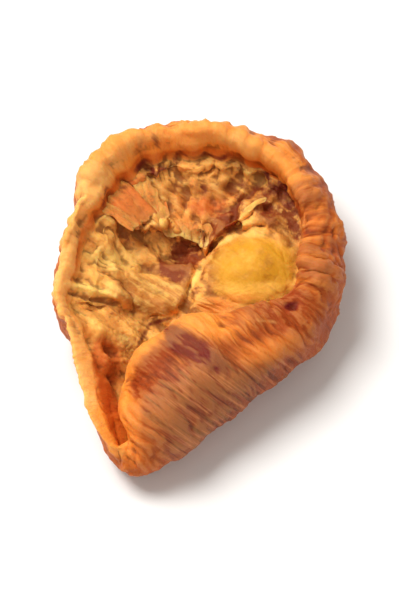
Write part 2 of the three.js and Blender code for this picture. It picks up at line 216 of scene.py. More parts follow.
# Smooth closed curve round the fruit through the (direction, value) pairs of one of its tables: cubic
# pieces that take their slope at a pair from the line between its two neighbours.
def around(name, direction):
    places, values = np.array(fruitShape[name], float).T
    places = np.concatenate([places[-2:] - 360, places, places[:3] + 360])
    values = np.concatenate([values[-2:], values, values[:3]])
    turned = direction % 360
    i = np.clip(np.searchsorted(places, turned, side="right") - 1, 1, len(places) - 3)
    slopes = np.zeros_like(values)
    slopes[1:-1] = (values[2:] - values[:-2]) / (places[2:] - places[:-2])
    span = places[i + 1] - places[i]
    t = (turned - places[i]) / span
    start = (1 + 2 * t) * (1 - t) ** 2 * values[i] + t * (1 - t) ** 2 * span * slopes[i]
    return start + t * t * (3 - 2 * t) * values[i + 1] + t * t * (t - 1) * span * slopes[i + 1]


# Reach of the flat spot: its mean plus a sway times the sine of the direction.
def flatReach(direction):
    return fruitShape["restReach"] + fruitShape["restReachSway"] * np.sin(np.radians(direction))


# Radius of the foot's arc, and the reach at which it starts: the arc has to meet a floor that curves up
# from the flat spot to the foot's slope.
def footArc(direction):
    reach, high = around("bellyReach", direction), around("bellyHeight", direction)
    slope = np.radians(around("footSlope", direction))
    half = np.tan(slope) / 2
    radius = (high - half * (reach - flatReach(direction))) / (np.cos(slope) - half * (1 - np.sin(slope)))
    return radius, reach - radius * (1 - np.sin(slope)), slope


# Point of the bare skin: a floor that is a parabola past its flat spot, an arc up to the belly, and an arc
# from there that leans in to the free edge.
def skinPoint(direction, station):
    a = np.radians(direction)
    radius, footReach, slope = footArc(direction)
    high, top = around("bellyHeight", direction), around("edgeHeight", direction)
    for count, height, phase in fruitShape["edgeWaves"]:
        top = top + height * np.sin(count * a + phase)
    flat = flatReach(direction)
    reach = footReach * np.clip(station, 0, 1)
    z = np.tan(slope) * np.clip(reach - flat, 0, None) ** 2 / (2 * (footReach - flat))
    t = slope + (np.pi / 2 - slope) * np.clip(station - 1, 0, 1)
    reach = reach + radius * (np.sin(t) - np.sin(slope))
    z = z + radius * (np.cos(slope) - np.cos(t))
    up = top - high
    turn = 2 * np.arctan2(around("edgeLean", direction), up)
    turn = np.where(np.abs(turn) < 1e-3, 1e-3, turn)
    t = turn * np.clip(station - 2, 0, 1)
    z = z + up / np.sin(turn) * np.sin(t)
    lean = up / np.sin(turn) * (1 - np.cos(t))
    heading = np.radians(direction + 180 + around("leanTurn", direction))
    x = np.cos(a) * reach + np.cos(heading) * lean
    y = np.sin(a) * reach + np.sin(heading) * lean
    return np.stack([x, y, z], -1)


# Inward normal of the skin, and its tangent towards the free edge, from points a little to each side.
def skinFrame(direction, station):
    low, high = np.clip(station - 0.03, 0.03, 3), np.clip(station + 0.03, 0.09, 3)
    along = skinPoint(direction, high) - skinPoint(direction, low)
    held = np.clip(station, 0.06, 3)
    across = skinPoint(direction + 1.2, held) - skinPoint(direction - 1.2, held)
    normal = np.cross(along, across)
    return unit(normal), unit(along)


# Thickness of the flesh: the middle's, then the floor's, the side's and the rim's, with ramps between.
def fleshDepth(direction, station):
    floor, side, rim = (around(name, direction) for name in ("floorFlesh", "sideFlesh", "rimFlesh"))
    middle = fruitShape["middleFlesh"]
    depth = middle + (floor - middle) * ramp(0, fruitShape["floorFleshBy"], station)
    depth = depth + (side - floor) * ramp(fruitShape["curveFrom"], fruitShape["curveTo"], station)
    return depth + (rim - side) * ramp(*fruitShape["rimFleshSpan"], station)


# Inside of the flesh before its relief: the skin moved inwards by the flesh, and one cubic curve in place
# of the corner between floor and wall.
def fleshBed(direction, station):
    # Skin point plus inward normal times thickness.
    def moved(at):
        normal, along = skinFrame(direction, at)
        return skinPoint(direction, at) + normal * fleshDepth(direction, at)[..., None], normal, along

    start, end = fruitShape["curveFrom"], fruitShape["curveTo"]
    plain, normal, along = moved(station)
    p0, normal0, along0 = moved(0 * station + start)
    p3, _, along3 = moved(0 * station + end)
    u = np.clip((station - start) / (end - start), 0, 1)[..., None]
    pull = fruitShape["curvePull"] * np.linalg.norm(p3 - p0, axis=-1)[..., None]
    p1, p2 = p0 + along0 * pull, p3 - along3 * pull
    curve = (1 - u) ** 3 * p0 + 3 * u * (1 - u) ** 2 * p1 + 3 * u * u * (1 - u) * p2 + u**3 * p3
    heading = unit((1 - u) ** 2 * (p1 - p0) + 2 * u * (1 - u) * (p2 - p1) + u * u * (p3 - p2))
    up = np.cross(unit(np.cross(heading, normal0)), heading)
    between = ((station > start) & (station < end))[..., None]
    return np.where(between, curve, plain), np.where(between, up, normal)


# Inside point: the bed plus hills, lines, folds, wall pleats and the torn step, which overhangs the hollow.
def insidePoint(direction, station):
    base, up = fleshBed(direction, station)
    a, d = np.radians(direction), direction % 360
    x, y = base[..., 0], base[..., 1]
    waves = np.sin(1.9 * (0.35 * x + y) + 1.2 * np.sin(0.5 * x)) * hill(x, y, (-8.0, 3.0), 6, 6, 0, 4)
    rise = fruitShape["bedWaves"] * waves
    for place, height, long, short, heading, power in fruitShape["forms"].values():
        rise = rise + height * hill(x, y, place, long, short, heading, power)
    for line, height, width in fruitShape["lines"].values():
        rise = rise + height * ridge(x, y, line, width)
    rise = rise * (1 - ramp(1.5, 2.1, station))
    farWall = plateau(0.7, 1.2, 2.1, 2.8, station) * plateau(25, 55, 150, 185, d)
    rise = rise + fruitShape["farPleats"] * farWall * np.sin(28 * a + 1.6 * np.sin(5 * a))
    step = around("tornRise", direction)
    ruffle = sum(size * np.sin(count * a + phase) for count, size, phase in fruitShape["tornRuffle"])
    past = np.hypot(x, y) - around("tornReach", direction) - ruffle * ramp(0.2, 1.0, step)
    slant, fade = fruitShape["tornSlant"], fruitShape["tornFade"]
    rise = rise + step * ramp(-slant, slant, past) * np.exp(-np.clip(past, 0, None) / fade)
    share, beyond, width = fruitShape["tornOverhang"]
    over = share * step * np.exp(-(((past - beyond) / width) ** 2))
    fill = fruitShape["wallFillSlant"] * around("wallFill", direction)
    fill = fill * plateau(*fruitShape["wallFillSpan"], station)
    push = np.stack([-np.cos(a) * (over + fill), -np.sin(a) * (over + fill), fill], -1)
    return base + up * rise[..., None] + push


# Outside point: the skin moved out by the lip's pleats, which fade to the free edge, by the rim's, which
# are low where it is thin, and by the belly's broad dents.
def outsidePoint(direction, station):
    a, d = np.radians(direction), direction % 360
    lip = plateau(256, 272, 345, 358, d)
    lipWaves = np.sin(40 * a + 1.3 * np.sin(7 * a)) * ramp(2.1, 2.5, station)
    fold = fruitShape["lipPleats"] * lip * lipWaves * (1 - 0.8 * ramp(2.6, 3, station))
    rimHeight = fruitShape["rimPleats"] * around("rimFlesh", direction) * (1 - lip)
    fold = fold + rimHeight * np.sin(46 * a + 1.5 * np.sin(5 * a)) * ramp(2.2, 2.7, station)
    broad, small = fruitShape["bellyDents"]
    dents = broad * np.sin(6 * a + 2.0 * station) + small * np.sin(15 * a - 3.0 * station)
    fold = fold + plateau(0.9, 1.3, 1.5, 2.1, station) * dents
    return skinPoint(direction, station) - skinFrame(direction, station)[0] * fold[..., None]


# The fruit's grid: rows go from the middle of the hollow up the inside, over the rim and down the outside

fruitGrid = {
    "columns": 480,
    "tipDirection": 252,  # columns gather at the drawn-out tip
    "tipCrowding": 0.35,
    "tearHalf": 0.6,
    "tearRange": (0.3, 0.86),  # stations that the tear keeps to
    "insideRows": (34, 8, 18, 24, 24),  # to the tear, across it, to the foot, to the wall, to the rim
    "rimRows": 16,
    "outsideRows": (4, 8, 30, 28),  # to the edge of the flat spot, to the foot, to the wall, to the rim
}


# Stations in even steps between stops, with a count for each gap, and the last stop.
def spread(stops, counts):
    rows = [a + (b - a) * i / n for a, b, n in zip(stops, stops[1:], counts) for i in range(n)]
    return np.array([*rows, stops[-1]])


# Returns the points, each row's walk from 0 in the hollow through 3 and 4 at the rim to 7 under the fruit,
# and the directions. The rim is half an ellipse between the last inside and outside points, skewed to the
# outside.
def fruitPoints():
    g = fruitGrid
    even = np.arange(g["columns"]) * 360.0 / g["columns"]
    direction = even - np.degrees(g["tipCrowding"] * np.sin(np.radians(even - g["tipDirection"])))
    footReach = footArc(direction)[1]
    tear = np.clip(around("tornReach", direction) / footReach, *g["tearRange"])
    half = g["tearHalf"] / footReach
    one = np.ones_like(direction)
    top = 1 - around("bevel", direction)
    stations = spread([0 * one, tear - half, tear + half, one, 2 * one, 2 + top], g["insideRows"])
    inside = insidePoint(direction + 0 * stations, stations)
    under = spread([0 * one, flatReach(direction) / footReach, one, 2 * one, 3 * one], g["outsideRows"])
    outside = outsidePoint(direction + 0 * under, under)
    along = skinFrame(direction, one * 3)[1]
    middle, reach = (inside[-1] + outside[-1]) / 2, (inside[-1] - outside[-1]) / 2
    size = (around("rimBulge", direction) * np.linalg.norm(reach, axis=-1))[:, None]
    turns = np.pi * np.arange(1, g["rimRows"]) / g["rimRows"]
    swell = np.sin(turns)[:, None] * (1 - around("rimSkew", direction) * np.cos(turns)[:, None])
    rim = middle + reach * np.cos(turns)[:, None, None] + along * size * swell[..., None]
    points = np.concatenate([inside, rim, outside[::-1]])
    inner = np.where(stations > 2, 2 + (stations - 2) / top, stations)
    walk = np.concatenate([inner, (3 + turns / np.pi)[:, None] + 0 * one, (7 - under)[::-1]])
    return points, walk, np.broadcast_to(direction, walk.shape)


# Outward normals of a grid whose columns close: the cross product of its two differences.
def gridNormals(points):
    down = np.gradient(points, axis=0)
    across = np.roll(points, -1, axis=1) - np.roll(points, 1, axis=1)
    normals = unit(np.cross(down, across))
    normals[0], normals[-1] = (0, 0, 1), (0, 0, -1)
    return normals


# Average with the four neighbours, over and over. Columns close, and the end rows repeat.
def softened(values, times):
    for _ in range(times):
        up = np.concatenate([values[:1], values[:-1]])
        down = np.concatenate([values[1:], values[-1:]])
        values = (2 * values + up + down + np.roll(values, 1, axis=1) + np.roll(values, -1, axis=1)) / 6
    return values


# Wrinkles, fibres and grain

fruitRelief = {
    # height, size and seed of each kind's noise
    "lipPleats": (0.06, 3.4, 11),  # pleats across the folded lip
    "lipLines": (0.18, 1.7, 12),  # and the thin ones between them
    "lipThreads": (0.09, 0.8, 29),
    "rimWrinkles": (0.08, 2.2, 13),
    "rimThreads": (0.05, 1.0, 30),
    "rimFolds": (0.16, 3.2, 27),  # folds along the rim
    "rimCrackle": (0.12, 1.9, 31),  # wrinkles of the right rim
    "rimLumps": (0.2, 6, 14),
    "scallops": (0.4, 5.6, 28),  # puckered inner edge of the rim
    "wallPleats": (0.25, 4.2, 15),  # folds up the far wall
    "wallWrinkles": (0.14, 1.7, 16),
    "skinDents": (0.35, 8, 17),
    "skinWrinkles": (0.2, 2.8, 18),
    "skinNet": (0.1, 2.0, 19),
    "strands": (0.08, 1.3, 21),  # fibres along the flesh
    "grains": (0.05, 1.1, 22),
    "bedFolds": (0.14, 2.8, 23),
    "bedLumps": (0.14, 3.6, 26),
    "curds": (0.36, 3.4, 24),  # lumps of torn flesh under the far wall
    "pitStrands": (0.18, 2.6, 25),
    # heights of single forms
    "lipBulge": 0.5,
    "lipHole": 0.9,
    "swellingRing": 0.12,
    "gutterFill": 1.2,
    "ridges": [  # sharp ones on the flesh: points in x and slant height, height, width
        ([(-14.2, 4.6), (-12.2, 4.0), (-9.0, 3.2)], 0.5, 0.4),
        ([(-14.0, 3.6), (-12.0, 3.0), (-9.0, 2.3)], -0.35, 0.3),
        ([(-13.4, 5.9), (-10.6, 5.4), (-8.4, 4.4)], 0.25, 0.3),
        ([(4.6, 11.6), (6.8, 13.4), (9.0, 14.2)], 0.5, 0.3),
        ([(5.4, 13.6), (7.6, 14.6), (9.6, 14.9)], 0.35, 0.3),
        ([(-0.2, 8.6), (-0.4, 6.4), (-1.2, 4.0), (-2.2, 1.6)], 0.3, 0.35),
    ],
    # places: middle, half length, half width, heading, power
    "swelling": ((6.5, 4.2), 5.2, 4.5, 10, 5),
    "pit": ((-1.5, 7.6), 3.7, 2.3, 24, 3),
    "hole": ((11.2, -3.6), 0.8, 0.65, 20, 3),
    "bulge": ((5.5, -3.6), 5.0, 1.9, 8, 2),
    "torn": ((-8.0, 12.6), 4.4, 3.0, -30, 3),
    "sides": {  # directions where each starts, is full, is left and ends
        "lip": (243, 254, 340, 356),
        "far": (25, 50, 140, 165),
        "left": (150, 175, 225, 245),
    },
}


# Where the fruit's kinds of surface are, each from 0 to 1: ramps and plateaus of walk and direction, and
# hills.
def fruitZones(points, walk, direction):
    x, y, d = points[..., 0], points[..., 1], direction % 360
    z = {name: plateau(*span, d) for name, span in fruitRelief["sides"].items()}
    z["right"] = (1 - z["far"]) * (1 - z["left"]) * (1 - z["lip"])
    z["bed"] = 1 - ramp(1.1, 1.9, walk - around("fleshUpWall", direction))
    z["wall"] = plateau(1.2, 1.9, 2.8, 3.15, walk)
    late = 0.8 * plateau(45, 65, 200, 225, d)
    z["rim"] = plateau(2.5 + late, 3.0 + 0.55 * late, 4.05, 4.6, walk)
    z["skin"] = ramp(3.4, 4.0, walk)
    z["flat"] = 1 - ramp(5.9, 6.25, walk)
    z["swelling"] = hill(x, y, *fruitRelief["swelling"]) * z["bed"]
    ovals = np.sqrt(-np.log(np.maximum(hill(x, y, *fruitRelief["swelling"][:4]), 1e-9)))
    z["ring"] = np.exp(-(((ovals - 1.1) / 0.1) ** 2)) * z["bed"]
    z["pit"] = hill(x, y, *fruitRelief["pit"]) * z["bed"]
    past = np.hypot(x, y) - around("tornReach", direction)
    step = around("tornRise", direction)
    z["curds"] = ramp(0.2, 1.2, past) * ramp(0.5, 1.5, step) * (1 - ramp(2.2, 2.8, walk))
    z["hole"] = hill(x, y, *fruitRelief["hole"]) * z["skin"] * (1 - ramp(4.9, 5.3, walk))
    return z


pictureLean = (0.87, 0.5)  # shares of y and z in the slant height, which is up in the picture
lineSqueeze = (0.1, 0.06)  # of parallel lines, along them and in depth
# Lumps of torn flesh are long ones, turned 40 degrees from X
curdTurn = np.array([[0.5 * 0.77, -0.64, 0], [0.5 * 0.64, 0.77, 0], [0, 0, 0.8]])


# Slant height 0.87 y + 0.5 z, and the depth behind the picture's plane, 0.87 z - 0.5 y.
def slanted(points):
    y, z = points[..., 1], points[..., 2]
    return pictureLean[0] * y + pictureLean[1] * z, pictureLean[0] * z - pictureLean[1] * y


# Coordinates for parallel lines: x and the slant height, turned by a heading and squeezed along it, and the
# squeezed depth.
def lineSpace(points, heading):
    c, s = np.cos(np.radians(heading)), np.sin(np.radians(heading))
    x, (high, deep) = points[..., 0], slanted(points)
    return np.stack([high * c - x * s, lineSqueeze[0] * (x * c + high * s), lineSqueeze[1] * deep], -1)


# Coordinates round the fruit: the direction on a circle of 17 mm, and the run along the column times a
# share.
def drumSpace(direction, run, share):
    a = np.radians(direction)
    return np.stack([17 * np.cos(a), 17 * np.sin(a), share * run], -1)


# Outward height of the fine relief: each kind's height times its place times its noise, on points that are
# squeezed along the fold. Folds of wall, rim and skin run up and down, those of lip and flesh in parallel
# lines, and rims and walls have lower ones where the flesh is thin.
def fruitHeight(points, walk, direction, run, zones):
    z, d = zones, direction % 360
    x, y = points[..., 0], points[..., 1]
    thin = np.clip(around("rimFlesh", direction) / 2.6, 0.35, 1)
    sway = np.stack([ripple(points, 6, seed) for seed in (3, 4, 5)], -1)
    patchy = np.clip(0.65 + 0.45 * ripple(points, 8, 6), 0.1, 1.3)
    lines = lineSpace(points, -38) + 0.22 * sway
    streaks = lineSpace(points, -32) + 0.3 * sway
    drum = drumSpace(direction, run, 0.2) + 0.35 * sway
    longDrum = drumSpace(direction, run, 0.07) + 0.3 * sway
    hoops = drumSpace(direction, run, 1) * (0.16, 0.16, 1) + 0.4 * sway
    swaying = points + 0.6 * sway
    lip, loose = z["lip"] * z["skin"], z["skin"] * z["flat"]
    fading = lip * (1 - 0.6 * ramp(4.5, 5.1, walk))
    flesh = z["bed"] * (1 - 0.6 * z["swelling"])
    scalloped = plateau(1.9, 2.6, 3.1, 3.5, walk) * (0.25 + 0.75 * z["far"])
    layers = [
        ("lipPleats", creased, longDrum, lip * ramp(3.9, 4.35, walk) * patchy),
        ("lipLines", creased, lines, fading * ramp(4.0, 4.3, walk) * (0.4 + 0.6 * patchy)),
        ("lipThreads", creased, lines, fading * ramp(3.8, 4.2, walk)),
        ("rimWrinkles", creased, drum, z["rim"] * thin * patchy),
        ("rimThreads", creased, drum, z["rim"] + 0.7 * loose + 0.5 * z["wall"]),
        ("rimFolds", creased, hoops, z["rim"] * (1 - z["lip"]) * (1 - 0.7 * z["right"]) * thin * patchy),
        ("rimCrackle", creased, swaying * (1, 1, 0.7), z["right"] * ramp(2.8, 3.3, walk) * z["flat"]),
        ("rimLumps", ripple, points, z["rim"] * thin), ("scallops", creased, longDrum, thin * scalloped),
        ("wallPleats", creased, drum, z["wall"] * thin * (0.3 + 0.7 * z["far"])),
        ("wallWrinkles", creased, drum, z["wall"] * thin), ("skinDents", ripple, points, loose * thin),
        ("skinWrinkles", creased, drum * (1, 1, 2), loose * (1 - 0.6 * z["lip"]) * patchy),
        ("skinNet", creased, swaying, loose * (1 - z["lip"])),
        ("strands", creased, streaks, flesh), ("grains", creased, points, flesh),
        ("bedFolds", ripple, streaks * (1, 2.5, 2), flesh),
        ("bedLumps", ripple, points, flesh), ("curds", creased, swaying @ curdTurn, z["curds"]),
        ("pitStrands", creased, swaying * (1, 1, 0.5), z["pit"]),
    ]
    height = 0 * walk
    for kind, noise, space, share in layers:
        high, size, seed = fruitRelief[kind]
        height += high * share * noise(space, size, seed)
    bulge = hill(x, y, *fruitRelief["bulge"]) * plateau(3.2, 3.6, 4.6, 5.0, walk)
    gutter = plateau(224, 242, 258, 268, d) * plateau(0.6, 1.0, 1.9, 2.3, walk)
    height += fruitRelief["lipBulge"] * bulge + fruitRelief["gutterFill"] * gutter
    for line, high, width in fruitRelief["ridges"]:
        height += high * z["bed"] * ridge(x, slanted(points)[0], line, width)
    return height - fruitRelief["lipHole"] * z["hole"] - fruitRelief["swellingRing"] * z["ring"]


# Strips of torn flesh along the tear

tornStrips = {
    "thickness": 0.34,
    "rings": 40,
    "ringPoints": 56,
    "sink": 1.3,  # how far the root lies in the flesh
    "fray": 0.1,  # of the sides
    "teeth": 0.45,  # of the torn end
    "ribs": 0.2,
    "seed": 40,
    # root, heading in degrees, length, width, lift, slope where it falls, curl of the sides, paleness
    "strips": [
        ((-11.4, 10.0), -26, 5.2, 1.6, 0.1, 0.7, 0.1, 0.5),
        ((-10.4, 11.6), -33, 5.6, 2.8, 0.3, 0.72, 0.1, 0.2),
        ((-9.0, 13.0), -40, 5.4, 2.4, 0.25, 0.75, 0.1, 0.1),
        ((-6.9, 14.8), -58, 6.6, 2.3, 0.4, 0.7, 0.25, 0.6),
        ((-5.0, 14.2), -68, 4.6, 1.5, 0.1, 0.75, 0.1, 0.35),
        ((4.2, 9.2), 32, 5.4, 0.7, 0.5, 0.3, 0.3, 0.9),
    ],
}


# A strip is a thin oval section carried along a path that lies on the flesh and falls no steeper than the
# strip's own slope where the flesh drops. Its end and its sides are torn ragged, its sides curl and ribs
# run along it. Also returns how far each point is along and across.
def stripRings(root, heading, length, width, lift, drop, curl, seed):
    strip = tornStrips
    s = np.linspace(0, 1, strip["rings"])[:, None]
    t = np.linspace(0, 2 * np.pi, strip["ringPoints"], endpoint=False)[None]
    side, face = np.cos(t) + 0 * s, np.sin(t) + 0 * s
    c, n = np.cos(np.radians(heading)), np.sin(np.radians(heading))
    taper = np.sqrt(1 - s**14)
    edges = np.stack([length * s + 0 * t, 9 * np.sign(side), 0 * side], -1)
    half = width / 2 * (0.85 + 0.2 * s) * taper * (1 + strip["fray"] * ripple(edges, 1.7, seed))
    across = side * half
    place = np.stack([across, 0 * across, 0 * across], -1)
    teeth = 0.6 * creased(place, 2.0, seed + 1) + 0.4 * ripple(place, 0.8, seed + 3)
    forward = length * s + strip["teeth"] * teeth * s**3
    sheet = np.stack([0.2 * forward, across, 0 * across], -1)
    thick = strip["thickness"] / 2 * face * taper * (1.5 - 0.9 * s)
    ribs = strip["ribs"] * creased(sheet, 1.2, seed + 2) * np.abs(face) * taper
    ground = [fleshHeight(root[0] + c * far, root[1] + n * far) for far in length * s[:, 0]]
    for i in range(1, len(ground)):
        ground[i] = max(ground[i], ground[i - 1] - drop * length / len(ground))
    up = softened(np.array(ground)[:, None], 6) + lift * ramp(0, 0.5, s)
    up = up + curl * np.abs(side) ** 2.2 * half / 1.5 * s + 0.2 * s * ripple(sheet, 2.4, seed + 1)
    up = up - strip["sink"] * (1 - s) ** 2 + thick + ribs * np.sign(face)
    x, y = root[0] + c * forward - n * across, root[1] + n * forward + c * across
    return np.stack([x, y, up], -1), s + 0 * t, side


# The hem is a sheet along the tear: its rings run from end to end, and each goes from the flap out over its
# edge, where it hangs in lobes and shreds, and back underneath.
tornHem = {
    "from": 116,  # directions of its ends
    "to": 74,
    "ringPoints": 44,
    "rowsOnFlap": 10,
    "smoothing": 5,  # columns over which it follows the flap
    "thickness": 0.24,
    "lift": 0.2,
    "ribs": (0.04, 0.03),
    "hang": 0.6,
    "lobes": 0.35,
    "shreds": (0.15, 0.12),
    "droop": 0.3,
    "flutter": 0.18,
    "pale": 0.3,
}


# Faces of a grid whose columns close, with one point for each end row, all facing outwards.
def closedFaces(rows, columns):
    i, j = np.meshgrid(np.arange(rows - 3), np.arange(columns), indexing="ij")
    beside = (j + 1) % columns
    corners = [i * columns + j, (i + 1) * columns + j, (i + 1) * columns + beside, i * columns + beside]
    quads = 1 + np.stack(corners, -1)
    j, beside = j[0], beside[0]
    last = 1 + (rows - 2) * columns
    first = np.stack([0 * j, 1 + j, 1 + beside], -1)
    end = np.stack([0 * j + last, last - columns + beside, last - columns + j], -1)
    return [quads.reshape(-1, 4), first, end]


# The grid as a list of points, with one point for each end row.
def closedPoints(grid):
    return np.concatenate([grid[0, :1], grid[1:-1].reshape(-1, *grid.shape[2:]), grid[-1, :1]])


# A new object of the part: points in mm about the hollow's middle, moved to the part's origin and over
# 1000, with their faces and marks.
def addPiece(name, points, faces, marks, material):
    shift = np.array([hollowMiddle[0], hollowMiddle[1], 0])
    mesh = bpy.data.meshes.new(name)
    mesh.from_pydata(((points + shift) / 1000).tolist(), [], [f for group in faces for f in group.tolist()])
    for key, values in marks.items():
        kind, slot = ("FLOAT_VECTOR", "vector") if values.ndim == 2 else ("FLOAT", "value")
        mark = mesh.attributes.new(key, kind, "POINT")
        mark.data.foreach_set(slot, np.ascontiguousarray(values, np.float32).ravel())
    mesh.shade_smooth()
    mesh.materials.append(material)
    piece = bpy.data.objects.new(name, mesh)
    bpy.context.scene.collection.objects.link(piece)
    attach(piece, "root")
    return piece


# Material

fruitColours = {
    "tanFlesh": (255, 182, 90),
    "oliveFlesh": (176, 106, 42),
    "creamFlesh": (255, 208, 112),
    "tornFlesh": (240, 132, 62),
    # the pit's own brown, also painted as shadow where the pit spots reach under the torn flesh and the rim
    "pitAndShadowBrown": (126, 46, 20),
    "golden": (214, 150, 32),
    "goldenPale": (250, 186, 76),
    "wallOrange": (222, 112, 34),
    "rimOrange": (248, 148, 56),
    "rimDeep": (156, 60, 14),
    "rimPale": (248, 186, 104),
    "skinOrange": (200, 98, 28),
    "skinDeep": (158, 66, 20),
    "skinRose": (146, 70, 42),
    "skinBrown": (96, 36, 20),
    "skinTan": (206, 124, 76),
    # glow: painted light
    "glow": (240, 134, 48),
    "red": (196, 86, 26),
    # maroon: the lip's own purple patch, and painted shade in its hole, along the far rim's crinkled edge
    # and under edges
    "maroon": (106, 10, 26),
    "shade": (112, 36, 8),
}
